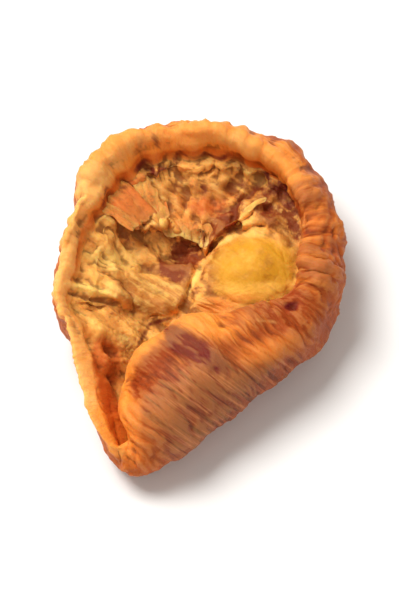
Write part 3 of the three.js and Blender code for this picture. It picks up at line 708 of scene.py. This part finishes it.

# Stains, painted shade and painted light by kind and zone: x and slant height of the middle, half length,
# half width, heading, strength
fruitStainsShadeAndLight = {
    ("maroon", "outer"): [
        (0.5, -2.9, 4.4, 1.8, -34, 0.62), (2.5, -4.2, 1.8, 0.9, -35, 0.5), (-1.9, -1.7, 1.7, 0.9, -60, 0.5),
        (0.5, -2.7, 1.6, 0.8, -30, 0.4),
    ],
    # painted shadow along the lip's free edge and under the torn flesh
    ("maroon", "bed"): [
        (-2.4, 11, 2.2, 0.9, 0, 0.4), (-3.9, 0.3, 1.7, 0.3, 16, 0.9), (-5.7, -1.3, 1.5, 0.3, 62, 0.8),
    ],
    ("maroon", "skin"): [(11.1, 2.2, 0.9, 0.5, 0, 0.6)],
    # painted shade on the wall under the rim and under the torn flesh
    ("maroon", "inside"): [
        (-5.8, 19.1, 1.6, 0.6, 20, 0.8), (10.6, 15, 2, 1.1, -50, 0.8), (13.6, 10.5, 1.3, 0.7, -20, 0.7),
        (-7.6, 12, 1, 0.5, 0, 0.7),
    ],
    ("maroon", "rim"): [(-4.6, 21.8, 1.5, 0.4, -60, 0.7), (-6.4, 20.4, 1.2, 0.4, 60, 0.6)],
    # glow, here on the rim and below on skin, inside and bed: painted light on slopes and crests
    ("glow", "rim"): [
        (-0.5, 22.8, 6, 1.3, 0, 0.8), (8.5, 21, 4, 1.5, -32, 0.8), (11.6, 17.8, 2, 1, -50, 0.5),
        (14.4, 11.9, 1.9, 0.7, 5, 0.9), (-2.9, 20.9, 3.4, 0.8, 0, 0.9),
    ],
    ("glow", "skin"): [
        (8.6, -2.8, 5.6, 1.7, 12, 0.8), (16.8, 11.6, 0.9, 2.6, 0, 0.8), (-6.7, -10.8, 2.8, 1.2, 80, 1),
        (-6.7, -14.6, 2.4, 1.4, 60, 0.7),
    ],
    ("glow", "inside"): [(-4.4, 20.9, 3.4, 0.9, 14, 0.9), (3.5, 21.2, 5, 0.8, -8, 0.8)],
    ("glow", "bed"): [
        (-8.6, 14.5, 2.4, 1.6, -40, 0.7), (-12.4, -0.6, 2.2, 1.4, -60, 0.6), (4.2, 2.9, 4.2, 0.8, 4, 0.8),
        (3, 1.5, 3.6, 0.9, 0, 0.9),
    ],
    # the first three: the gutter's red-orange, partly painted shade; the last two: reddish patches of the
    # left wall
    ("red", "inside"): [
        (-10, -4.8, 3.4, 1.3, -76, 1), (-9.6, -8.6, 2.2, 1, -66, 0.7), (-9.4, -3.6, 2.2, 1.6, -60, 0.8),
        (-14.6, 6.8, 2.4, 0.6, 85, 0.7), (-14.2, 1.6, 2.2, 0.6, -78, 0.4),
    ],
    ("red", "rim"): [(-16, 11, 1.2, 0.6, 80, 0.5)],
    ("red", "bed"): [(1.6, 13.8, 2.8, 1.4, 0, 0.9), (4.4, 1.1, 3.4, 0.6, 0, 0.5)],
    ("red", "skin"): [(-3.2, -6.4, 3.4, 2, 52, 0.2)],
    ("deep", "outer"): [(-4.4, -5.4, 3.8, 1.9, 58, 0.7)],
    ("deep", "bed"): [(-12.2, 9.6, 2.6, 0.6, 70, 0.5)],
    # the belly's rose brown, partly painted shade towards its lower right
    ("brown", "skin"): [
        (1.6, -8.4, 7, 4.4, 38, 1.1), (0.2, -13, 4, 2, 35, 0.8), (9.4, -6, 5, 1.6, 35, 0.6),
        (-3, -5.6, 4, 1.9, 58, 0.6),
    ],
    ("pale", "rim"): [
        (-13.4, 15.2, 4.6, 1.4, 62, 0.9), (-15.6, 8, 5, 1, 88, 0.9), (-12.6, -6, 6, 1, -68, 0.8),
        (2, 23, 4, 0.6, 0, 0.4),
    ],
    ("pale", "inside"): [(-12.8, -5.6, 4.6, 1, -68, 0.8)],
    ("pale", "skin"): [(8.2, 0.4, 1.8, 0.35, -8, 0.6)],
    ("pale", "outer"): [(-4.4, -0.5, 1.3, 0.6, 40, 0.8)],
    ("cream", "bed"): [
        (-11.6, 3.9, 3.2, 0.6, -14, 1.6), (-10.6, 7.6, 3, 1.2, -14, 0.4), (0.2, 5.4, 2.6, 0.4, 62, 1),
        (-7.8, -1.9, 1.4, 0.6, -30, 0.7), (3.9, 9.9, 1.6, 0.5, 28, 0.8), (7.2, 10.5, 1.8, 0.5, 0, 0.6),
        (-8.6, 7.6, 3, 1.8, 0, 0.7),
    ],
    # olive flesh; the spots at x of 9 and more also paint the right rim's shadow
    ("olive", "bed"): [
        (-4.2, 4.2, 3.4, 2.2, 10, 0.8), (-6.6, 3.2, 2.6, 1.2, -40, 0.7), (-1.5, 16.6, 2.6, 1.4, 20, 0.7),
        (3.6, 17.4, 2.4, 1.2, 20, 0.6), (-2.2, 14.6, 2.6, 1.2, 10, 1), (4, 15.4, 2.4, 1.2, 30, 0.9),
        (-4, 2.7, 3.4, 1.7, 0, 1), (2, 2.6, 2, 1.2, 60, 0.8), (9, 13.6, 2.4, 1.6, -10, 0.8),
        (-1.6, 4, 1.4, 1.4, 0, 0.9), (2.6, 5.4, 1.3, 3.2, 0, 1), (9.4, 12, 2.4, 1, -20, 1),
        (11.6, 7.8, 1.4, 1.8, 0, 0.6), (4.8, 9.7, 2.2, 1, 15, 0.6), (-8.4, 4.6, 2.6, 1.4, 0, 0.4),
        (7.4, 15.2, 2.4, 1.2, 0, 0.8), (1.9, 15.4, 1.8, 1, 0, 0.8), (-13.2, 0.6, 2.6, 1, -70, 0.8),
        (10.8, 9.8, 2, 1, -20, 0.8),
    ],
    # the pit's own brown, and painted shadow under the torn flesh, along the right rim and on the
    # swelling's left flank
    ("pit", "bed"): [
        (2.2, 10.9, 2, 1, 55, 1), (-1.4, 8.6, 2.3, 1.2, 38, 1), (0.6, 9.6, 1.5, 0.8, 50, 0.9),
        (-2.5, 7, 2.4, 1.6, 30, 0.9), (-1.4, 6, 1.9, 1.3, 60, 1), (4.2, 12.2, 1.9, 1, 50, 1),
        (-5, 11.4, 2.4, 0.7, -10, 0.7), (0.2, 3.6, 1.2, 0.4, 65, 0.6), (3, 15, 5, 2.2, 8, 0.4),
        (2.4, 8.6, 0.8, 1.3, 40, 0.7), (12.1, 12.2, 2.6, 1.5, -50, 0.9), (8.6, 14.6, 3.4, 1.6, -10, 0.45),
        (3.4, 11.2, 1.6, 0.7, 40, 0.6), (8.6, 11.9, 2.8, 1.2, -15, 0.5), (1.6, 5.2, 2.8, 0.9, 78, 0.55),
        (-0.6, 7.5, 1.3, 1.3, 0, 0.7), (12.6, 9.6, 2.2, 0.8, -50, 0.7), (7.6, 13.6, 3, 1, -10, 0.4),
    ],
    # painted shade on the wall under the right rim
    ("pit", "inside"): [(12.4, 14.2, 2.2, 0.9, -58, 0.9), (14.2, 10.6, 2.2, 0.7, -72, 0.8)],
    ("golden", "bed"): [(7.2, 6.5, 5.4, 4.1, 4, 1.05)],
    ("goldenPale", "bed"): [(6.6, 3.7, 4.6, 1.3, 4, 0.9), (5.8, 7.6, 2.2, 1.6, 0, 0.4)],
}


# One socket of a material. Sums, differences and products of shades are Math nodes.
class Shade:
    def __init__(self, tree, socket=None):
        self.tree, self.socket = tree, socket

    # Any node: its type, its settings, the values or links of its sockets, and which output is returned.
    def add(self, kind, settings=None, sockets=None, output=0):
        node = self.tree.nodes.new(kind)
        for key, value in (settings or {}).items():
            setattr(node, key, value)
        for key, value in (sockets or {}).items():
            if isinstance(value, Shade):
                self.tree.links.new(value.socket, node.inputs[key])
            else:
                node.inputs[key].default_value = value
        return Shade(self.tree, node.outputs[output]) if len(node.outputs) else node

    def math(self, operation, first, second=0.0):
        return self.add("ShaderNodeMath", {"operation": operation}, {0: first, 1: second})

    def __add__(self, other):
        return self.math("ADD", self, other)

    def __sub__(self, other):
        return self.math("SUBTRACT", self, other)

    def __mul__(self, other):
        return self.math("MULTIPLY", self, other)

    def __rsub__(self, other):
        return self.math("SUBTRACT", other, self)

    __radd__, __rmul__ = __add__, __mul__

    # From 0 at low to 1 at high, with t*t*(3 - 2t) between.
    def between(self, low, high):
        sockets = {"Value": self, "From Min": low, "From Max": high}
        return self.add("ShaderNodeMapRange", {"interpolation_type": "SMOOTHSTEP"}, sockets)


# A colour of 0 to 255 steps as linear light: v/12.92 up to 0.04045, and ((v + 0.055)/1.055)^2.4 above.
def linear(colour):
    share = np.array(colour) / 255
    light = np.where(share <= 0.04045, share / 12.92, ((share + 0.055) / 1.055) ** 2.4)
    return (*light.tolist(), 1.0)


# The skin's and flesh's finish, with sizes in metres
fruitFinish = {
    # size, detail and roughness of the noises: broad, patches, small spots, specks, grain
    "noise": [
        (0.006, 3, 0.55), (0.0022, 3, 0.55), (0.001, 4, 0.6), (0.0006, 5, 0.7), (0.00028, 4, 0.65),
    ],
    "bumps": [0.00018, 0.00028, 0.0002],  # of fibres, folds and grain
    "bumpStrength": 0.8,
    "roughness": (0.38, 0.3),  # least, and what the spots add
    "surface": {
        "Subsurface Weight": 0.35,
        "Subsurface Radius": (1.0, 0.32, 0.08),
        "Subsurface Scale": 0.0014,
        "Specular IOR Level": 0.36,
        "Specular Tint": (1.0, 0.72, 0.45, 1.0),
    },
}


# Colours blend one over the other by the fruit's own marks, each broken up by noise; some marks lay painted
# shade and painted light. Relief finer than the grid is a bump.
def makeFruitMaterial():
    material = bpy.data.materials.new("driedApricot")
    material.use_nodes = True
    tree = material.node_tree
    tree.nodes.clear()
    start = Shade(tree)
    colour = {name: linear(value) for name, value in fruitColours.items()}
    place = start.add("ShaderNodeTexCoord", output=3)

    # The piece's attribute: output 2 is its value, 1 its vector.
    def mark(name, output=2):
        return start.add("ShaderNodeAttribute", {"attribute_name": name}, output=output)

    def noise(vector, size, detail=3.0, rough=0.55):
        sockets = {"Vector": vector, "Scale": 1 / size, "Detail": detail, "Roughness": rough}
        return start.add("ShaderNodeTexNoise", sockets=sockets)

    # The mark plus its share of noise about 0, as a factor.
    def broken(name, noise, share, low, high):
        return (mark(name) + (noise - 0.5) * share).between(low, high)

    # Each layer's colour over those before it, by its factor.
    def layered(paint, *layers):
        for factor, over in layers:
            sockets = {0: factor, 6: paint, 7: colour[over] if isinstance(over, str) else over}
            paint = start.add("ShaderNodeMix", {"data_type": "RGBA"}, sockets, output=2)
        return paint

    strands, drum, lines = mark("strands", 1), mark("drum", 1), mark("lines", 1)
    bed, sunk, golden = mark("bed"), mark("sunk"), mark("golden")
    broad, patch, small, speck, grain = (noise(place, *size) for size in fruitFinish["noise"])
    fibre, fineFibre = noise(strands, 0.9), noise(strands, 0.3, 4.0)
    pleat, line = noise(drum, 0.9), noise(lines, 0.42, 2.0)

    flesh = layered(
        colour["tanFlesh"],
        (patch.between(0.38, 0.6) * 0.45, "oliveFlesh"),
        (broken("olive", small, 0.9, 0.25, 0.9) * 0.8, "oliveFlesh"),
        (fibre.between(0.52, 0.72) * 0.6, "creamFlesh"),
        (small.between(0.5, 0.66) * 0.35, "creamFlesh"),
        (broad.between(0.5, 0.7) * 0.5, "wallOrange"),
        (broken("torn", fibre, 0.7, 0.25, 0.8), "tornFlesh"),
        # pit: the pit's own brown, and painted shadow under the torn flesh and the rim
        ((mark("pit") + (patch + small - 1.0) * 2.2).between(0.25, 0.95) * 0.95, "pitAndShadowBrown"),
        (broken("golden", patch, 0.5, 0.15, 0.85), "golden"),
        ((patch + small).between(1.0, 1.25) * golden * 0.4, "oliveFlesh"),
        ((mark("goldenPale") + golden * (small - 0.5) * 1.6).between(0.05, 0.9) * 0.85, "goldenPale"),
    )
    wall = layered(colour["wallOrange"], (pleat.between(0.42, 0.62) * 0.45, "red"))
    # On the rim, deep lays painted shade on its inner side and tone lays painted light on its crest
    edge = layered(
        colour["rimOrange"],
        (broken("deep", pleat, 1.2, 0.2, 1.0), "rimDeep"),
        (broken("tone", pleat, 0.9, 0.2, 1.0) * 0.8, "rimPale"),
    )
    # rosy: the belly's rose brown, partly painted shade that darkens it towards the floor and the lower
    # right
    rosy = broken("brown", patch, 0.5, 0.0, 1.0)
    folded = mark("folded") * (0.2 + rosy * 0.6)
    outside = layered(
        colour["skinOrange"],
        ((pleat * 0.5 + broad * 0.5).between(0.4, 0.62) * (0.3 + mark("under") * 0.5), "skinDeep"),
        (mark("deep") * 0.7, "rimDeep"),
        (rosy * 0.9, "skinRose"),
        ((0.5 - line).between(0.01, 0.12) * folded, "skinBrown"),
        ((line - 0.5).between(0.05, 0.16) * folded * 0.75, "skinTan"),
    )
    paint = layered(
        wall,
        (broken("bed", patch, 0.7, 0.2, 0.8), flesh),
        (broken("skin", patch, 0.4, 0.3, 0.8), outside),
        (broken("rim", patch, 0.6, 0.2, 0.85), edge),
        # glow: painted light
        (broken("glow", pleat, 0.7, 0.2, 1.0) * 0.6, "glow"),
        # red: the gutter's red-orange, partly painted shade there, and the fruit's reddish patches
        (broken("red", small, 0.8, 0.2, 0.9) * 0.85, "red"),
        # maroon: the lip's own patch, and painted shade along edges, the crinkle and the hole
        ((mark("maroon") + (patch + line - 1.0) * 0.9).between(0.05, 1.05) * 0.92, "maroon"),
        (broken("pale", pleat, 0.8, 0.25, 0.95) * 0.8, "rimPale"),
        (broken("cream", small, 0.7, 0.15, 0.95) * 0.85, "creamFlesh"),
        # painted shade in hollows and creases, deeper the further a point lies below its softened
        # surroundings
        (sunk.between(0.05, 0.9) * 0.7, "shade"),
        # painted highlight on crests, which stand above their softened surroundings
        ((0 - sunk).between(0.1, 0.9) * 0.16, "rimPale"),
        (speck.between(0.54, 0.7) * (0.1 + bed * 0.22) * (1 - golden), "pitAndShadowBrown"),
    )

    fibres = fineFibre * bed * (1 - golden * 0.9)
    folds = noise(drum, 0.45, 5.0, 0.6) * (1 - bed)
    sockets = {}
    for height, distance in zip((fibres, folds, speck * 0.6 + grain * 0.4), fruitFinish["bumps"]):
        sockets.update({"Height": height, "Distance": distance, "Strength": fruitFinish["bumpStrength"]})
        sockets["Normal"] = start.add("ShaderNodeBump", sockets=sockets)
    least, added = fruitFinish["roughness"]
    sockets = {"Base Color": paint, "Roughness": least + small * added, "Normal": sockets["Normal"]}
    surface = start.add("ShaderNodeBsdfPrincipled", sockets={**sockets, **fruitFinish["surface"]})
    start.add("ShaderNodeOutputMaterial", sockets={"Surface": surface})
    return material


# Build the pieces

fruitMaterial = makeFruitMaterial()
print("material made")

points, walk, direction = fruitPoints()
steps = np.linalg.norm(np.diff(points, axis=0), axis=-1)
run = np.concatenate([np.zeros((1, points.shape[1])), np.cumsum(steps, axis=0)])
crest = np.argmin(np.abs(walk[:, 0] - 3.5))
run = run - run[crest]
zones = fruitZones(points, walk, direction)
normals = gridNormals(points)
height = fruitHeight(points, walk, direction, run, zones)
rows = np.arange(len(points))
fade = ramp(0, 3, rows) * ramp(0, 3, rows[::-1])  # no relief at the poles
finePoints = points + normals * (height * fade[:, None])[..., None]
finePoints[..., 2] = np.maximum(finePoints[..., 2], 0)
fineNormals = gridNormals(finePoints)


# Marks for the material: zones, stains, painted shade and painted light as hills in x and slant height, how
# far a point lies below its softened surroundings, which paints shade into hollows and light onto crests,
# and the coordinates that fibres and wrinkles follow.
def fruitMarks(points, normals, walk, direction, run, zones):
    x, y, slant = points[..., 0], points[..., 1], slanted(points)[0]
    hollow, fine = (((softened(points, times) - points) * normals).sum(-1) for times in (30, 5))
    right = (direction % 360 + 70) % 360 - 70
    far, left = zones["far"], zones["left"]
    upper = 1 - ramp(4.9, 5.4, walk)
    places = {
        "bed": zones["bed"],
        "rim": zones["rim"],
        "skin": zones["skin"] * upper,
        "outer": (zones["rim"] + zones["skin"]) * upper,
        "inside": 1 - ramp(3.0, 3.4, walk),
    }
    # crest weighs the painted light just outside the rim's crest; inner the painted shade down its inner
    # side, except at the far side and the left
    crest = np.exp(-(((run - 0.9 + 1.2 * left) / (1.9 + left)) ** 2))
    inner = 0.5 * ramp(0.6, -3.0, run) * (1 - np.maximum(far, 0.9 * left))
    marks = {
        "bed": zones["bed"],
        "skin": zones["skin"],
        "rim": zones["rim"],
        "folded": zones["lip"] * zones["skin"],
        "sunk": np.clip(hollow / 0.35, -1, 1) * 0.6 + np.clip(fine / 0.06, -1, 1) * 0.4,
        # tone: painted light just outside the rim's crest
        "tone": around("rimPalenessAndLight", direction) * crest,
        # deep: painted shade down the rim's inner side, a deeper orange at the right, and the lip's own
        # deeper tone
        "deep": inner + 0.8 * ramp(64, 30, right) * ramp(-66, -36, right) + 0.22 * zones["lip"],
        "under": ramp(1.5, 8, run),
        "torn": 0.9 * hill(x, y, *fruitRelief["torn"]) * zones["bed"],
        "strands": lineSpace(points, -32) * (1, 1.5, 2),
        "lines": lineSpace(points, -38) * (1, 0.5, 1),
        "drum": drumSpace(direction, run, 0.2),
    }
    for (kind, zone), spots in fruitStainsShadeAndLight.items():
        hills = sum(s[-1] * hill(x, slant, s[:2], *s[2:5], 3) for s in spots)
        marks[kind] = np.minimum(marks.get(kind, 0) + places[zone] * hills, 1)
    # Painted shade in maroon: in the lip's hole, and along a crinkled line just inside the far rim's inner
    # edge.
    wavy = around("crinkleRun", direction) + fruitShape["crinkleSway"] * ripple(points, 3.4, 61)
    crinkle = np.exp(-(((run - wavy) / fruitShape["crinkleWidth"]) ** 2)) * far
    marks["maroon"] += 0.8 * zones["hole"] + crinkle * np.clip(0.7 + 0.5 * ripple(points, 5, 62), 0, 1.1)
    # Painted shade: the belly browner towards the floor.
    marks["brown"] += 0.4 * ramp(4.8, 5.6, walk)
    return marks


marks = fruitMarks(finePoints, fineNormals, walk, direction, run, zones)
marks = {name: closedPoints(values) for name, values in marks.items()}
fruit = addPiece("driedFruit", closedPoints(finePoints), closedFaces(*walk.shape), marks, fruitMaterial)
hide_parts("fruit")
print("fruit made:", walk.shape[0], "rows by", walk.shape[1], "columns")

inside = finePoints[:crest]  # up to the crest of the rim


# Height of the flesh at a place: a mean of the grid's points that counts the nearest most.
def fleshHeight(x, y):
    away = np.hypot(inside[..., 0] - x, inside[..., 1] - y)
    share = np.exp(-(((away - away.min()) / 0.3) ** 2))
    return (inside[..., 2] * share).sum() / share.sum()


# The hem's rings: rows of the flap, then rows that go on inwards past its edge and sink, averaged along the
# tear, plus and minus half the thickness. Also how far out each point is, and how far along the tear.
def hemRings():
    h = tornHem
    facing = (direction[0] - h["to"]) % 360
    columns = np.where((facing > 0) & (facing < h["from"] - h["to"]))[0]
    columns = columns[np.argsort(facing[columns])]
    row = sum(fruitGrid["insideRows"][:2])
    onFlap = finePoints[row : row + h["rowsOnFlap"], columns][::-1]
    upward = fineNormals[row : row + h["rowsOnFlap"], columns][::-1]
    edge, a = onFlap[-1], np.radians(direction[0, columns])
    gone = np.concatenate([[0], np.cumsum(np.linalg.norm(np.diff(edge, axis=0), axis=-1))])
    place = np.stack([gone, 0 * gone, 0 * gone], -1)
    ends = plateau(0, 1.5, gone[-1] - 1.5, gone[-1], gone)
    reach = h["hang"] + h["lobes"] * ripple(place, 4.0, 71) + h["shreds"][0] * creased(place, 1.3, 72)
    reach = np.clip(reach + h["shreds"][1] * ripple(place, 0.6, 73), 0.15, 2.2) * ends
    inward = np.stack([-np.cos(a), -np.sin(a), 0 * a], -1)
    order = np.arange(len(columns))
    nearness = np.exp(-(((order[:, None] - order) / h["smoothing"]) ** 2))
    nearness /= nearness.sum(axis=1)[:, None]
    steps = np.linspace(0, 1, h["ringPoints"] // 2 - h["rowsOnFlap"] + 1)[1:, None, None]
    far = steps * reach[:, None]
    hanging = edge + inward * far + np.array([0, 0, -1.0]) * h["droop"] * far**1.6
    hanging[..., 2] += h["flutter"] * steps[..., 0] * ripple(place, 2.0, 74)
    middle = nearness @ np.concatenate([onFlap, hanging])
    up = np.concatenate([upward, np.broadcast_to(unit(upward[-1] + inward * 0.3), hanging.shape)])
    s = np.linspace(0, 1, len(middle))[:, None]
    ribs = h["ribs"][0] * creased(place, 1.9, 75) + h["ribs"][1] * creased(place, 0.8, 76)
    rise = h["lift"] * ramp(0, 0.4, s) + ribs * ramp(0.05, 0.4, s)
    rise = rise - 0.8 * (1 - ramp(0, 0.4, s)) - 0.4 * (1 - ends)  # its start and ends lie in the flesh
    half = h["thickness"] / 2 * np.sqrt(np.clip(np.sin(np.pi * s), 0, 1)) * ends
    top, bottom = middle + up * (rise + half)[..., None], middle + up * (rise - half)[..., None]
    rings = np.concatenate([top, bottom[::-1]]).transpose(1, 0, 2)
    outward = np.concatenate([s, s[::-1]]).T + 0 * ends[:, None]
    return rings, outward, gone[:, None] + 0 * outward


# Each piece: rings, share of the way from its root, its fibres' two coordinates, paleness, torn edge
pieces = []
for number, (*shape, pale) in enumerate(tornStrips["strips"]):
    rings, s, side = stripRings(*shape, tornStrips["seed"] + 3 * number)
    pieces.append((rings, s, side * shape[3] * 1.5 + number * 5, s * 1.5, pale, 0.5 * ramp(0.84, 1.0, s)))
rings, s, gone = hemRings()
pieces.append((rings, s, gone * 1.5, s * 1.5, tornHem["pale"], 0.85 * ramp(0.22, 0.5, s)))

stripPoints, stripFaces, stripMarks, used = [], [], {}, 0
for rings, s, across, forward, pale, edge in pieces:
    none = 0 * s
    absent = ["skin", "rim", "sunk", "tone", "under", "folded", *(kind for kind, zone in fruitStainsShadeAndLight)]
    values = {name: none for name in absent}
    values.update({
        "bed": none + 1,
        "torn": (1 - 0.8 * pale) * ramp(-0.2, 0.5, s),
        "cream": np.clip(pale * 0.45 + 0.45 * edge, 0, 1),
        "pale": edge,
        "red": none + max(0.0, 0.45 - pale),
        "strands": np.stack([across, forward, none], -1),
        "drum": rings,
        "lines": rings,
    })
    stripPoints.append(closedPoints(rings))
    stripFaces += [group + used for group in closedFaces(*s.shape)]
    for name, value in values.items():
        stripMarks.setdefault(name, []).append(closedPoints(value))
    used += len(stripPoints[-1])
stripMarks = {name: np.concatenate(values) for name, values in stripMarks.items()}
addPiece("tornStrips", np.concatenate(stripPoints), stripFaces, stripMarks, fruitMaterial)
print("torn strips made:", len(pieces))

# Floor, light and camera

studio = {
    "floorSize": 3.0,
    "floorColour": (236, 234, 231),
    "floorRoughness": 0.6,
    "keyPlace": (-0.26, 0.17, 0.58),
    "keySize": 0.34,
    "keyPower": 5.2,
    "fillPlace": (0.35, -0.45, 0.40),
    "fillSize": 0.6,
    "fillPower": 0.8,
    "lightAim": (0.0, 0.0, 0.005),
    "skyLight": 0.42,
    "skyColour": (1.0, 0.95, 0.9, 1.0),
    "cameraElevation": 60,
    "cameraDistance": 0.29,
    "cameraLens": 150,
    "cameraAim": (0.0, 0.0005, 0.005),
}

floorMaterial = bpy.data.materials.new("paleFloor")
floorMaterial.use_nodes = True
floorSockets = floorMaterial.node_tree.nodes["Principled BSDF"].inputs
floorSockets["Base Color"].default_value = linear(studio["floorColour"])
floorSockets["Roughness"].default_value = studio["floorRoughness"]
half = studio["floorSize"] / 2
corners = [(-half, -half, 0), (half, -half, 0), (half, half, 0), (-half, half, 0)]
floorMesh = bpy.data.meshes.new("paleFloor")
floorMesh.from_pydata(corners, [], [(0, 1, 2, 3)])
floorMesh.materials.append(floorMaterial)
floor = bpy.data.objects.new("paleFloor", floorMesh)
bpy.context.scene.collection.objects.link(floor)


# Puts a lamp or the camera at a place, turned so that its own -Z axis runs from there to the target.
def aimed(thing, place, target):
    thing.location = place
    thing.rotation_euler = (Vector(target) - Vector(place)).to_track_quat("-Z", "Y").to_euler()
    bpy.context.scene.collection.objects.link(thing)


for name in ("key", "fill"):
    light = bpy.data.lights.new(name + "Light", "AREA")
    light.size = studio[name + "Size"]
    light.energy = studio[name + "Power"]
    aimed(bpy.data.objects.new(name + "Light", light), studio[name + "Place"], studio["lightAim"])

world = bpy.data.worlds.new("studioSky")
world.use_nodes = True
skySockets = world.node_tree.nodes["Background"].inputs
skySockets["Color"].default_value = studio["skyColour"]
skySockets["Strength"].default_value = studio["skyLight"]
bpy.context.scene.world = world
bpy.context.scene.view_settings.view_transform = "Standard"

camera = bpy.data.cameras.new("camera")
camera.lens = studio["cameraLens"]
tilt = np.radians(studio["cameraElevation"])
aim = Vector(studio["cameraAim"])
cameraObject = bpy.data.objects.new("camera", camera)
aimed(cameraObject, aim + Vector((0, -np.cos(tilt), np.sin(tilt))) * studio["cameraDistance"], aim)
bpy.context.scene.camera = cameraObject
print("floor, light and camera placed")
